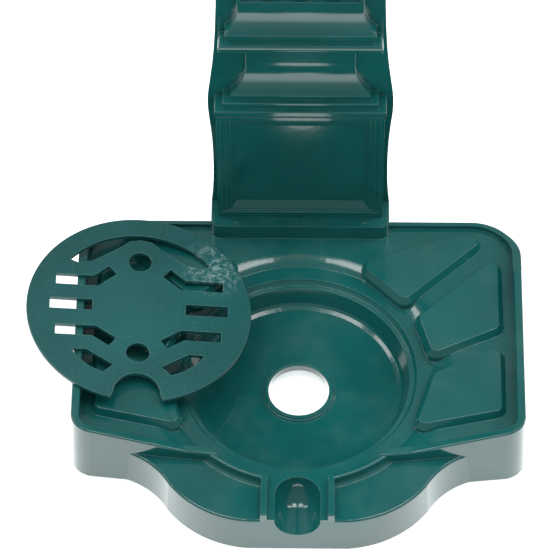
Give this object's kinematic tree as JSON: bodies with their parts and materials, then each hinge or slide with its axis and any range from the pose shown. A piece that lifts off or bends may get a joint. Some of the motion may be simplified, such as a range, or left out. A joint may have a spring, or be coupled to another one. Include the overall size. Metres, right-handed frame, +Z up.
{
  "type": "drinking fountain",
  "caption": "Cast-aluminium pillar drinking fountain with a bowl basin, overflow scoop, loose drain grate and cross-handle tap.",
  "frame": {"origin": "on the floor, on the axis of the service opening under the pillar", "axes": "X to the user's right, Y from the front of the basin to the back, Z up"},
  "size_m": [0.4684, 0.434, 0.987],
  "materials": {
    "green_gloss": "glossy dark teal-green enamel on cast aluminium",
    "green_matte": "speckled satin dark teal-green powder coat",
    "tap_brass": "polished brass",
    "fitting_brass": "dull machined brass",
    "copper_pipe": "drawn copper, slightly tarnished",
    "stainless": "stainless steel fasteners",
    "black_rubber": "moulded black rubber"
  },
  "bodies": {
    "fountain": {"basin_base": "green_gloss", "column_front": "green_gloss", "rear_cover": "green_gloss", "rear_cover_screws": "stainless", "foot_bolts": "stainless", "foot_washers": "stainless", "foot_nuts": "stainless", "column_cap": "green_gloss", "cap_screws": "stainless", "finial": "green_gloss", "finial_stud": "stainless", "finial_nut": "stainless", "tap_rosette": "tap_brass", "tap_body": "tap_brass", "tap_locknut": "tap_brass", "tap_headgear": "tap_brass", "tap_gland_nut": "tap_brass", "spout_nozzle": "tap_brass", "supply_elbow": "fitting_brass", "riser_pipe": "copper_pipe", "compression_nuts": "fitting_brass", "compression_olives": "fitting_brass", "inlet_coupling": "fitting_brass", "pipe_clips": "copper_pipe", "pipe_clip_screws": "stainless"},
    "grate": {"drain_grate": "green_matte"},
    "tap_turning_parts": {"tap_spindle": "tap_brass", "tap_handle": "tap_brass", "handle_screw": "stainless"},
    "valve": {"valve_carrier": "tap_brass", "valve_disc": "black_rubber"}
  },
  "joints": [
    {"name": "grate_lift", "type": "slide", "parent": "fountain", "child": "grate", "axis": [0, 0, 1], "range_m": [0, 0.08]},
    {"name": "tap_turn", "type": "hinge", "parent": "fountain", "child": "tap_turning_parts", "pos_m": [0, -0.0834, 0.69], "axis": [0, 0, 1], "range_deg": [0, 540]},
    {"name": "valve_lift", "type": "slide", "parent": "fountain", "child": "valve", "axis": [0, 0, 1], "range_m": [0, 0.00375]}
  ],
  "couplings": [
    {"joint": "valve_lift", "follows": "tap_turn", "m_per_rad": 0.00039789}
  ]
}
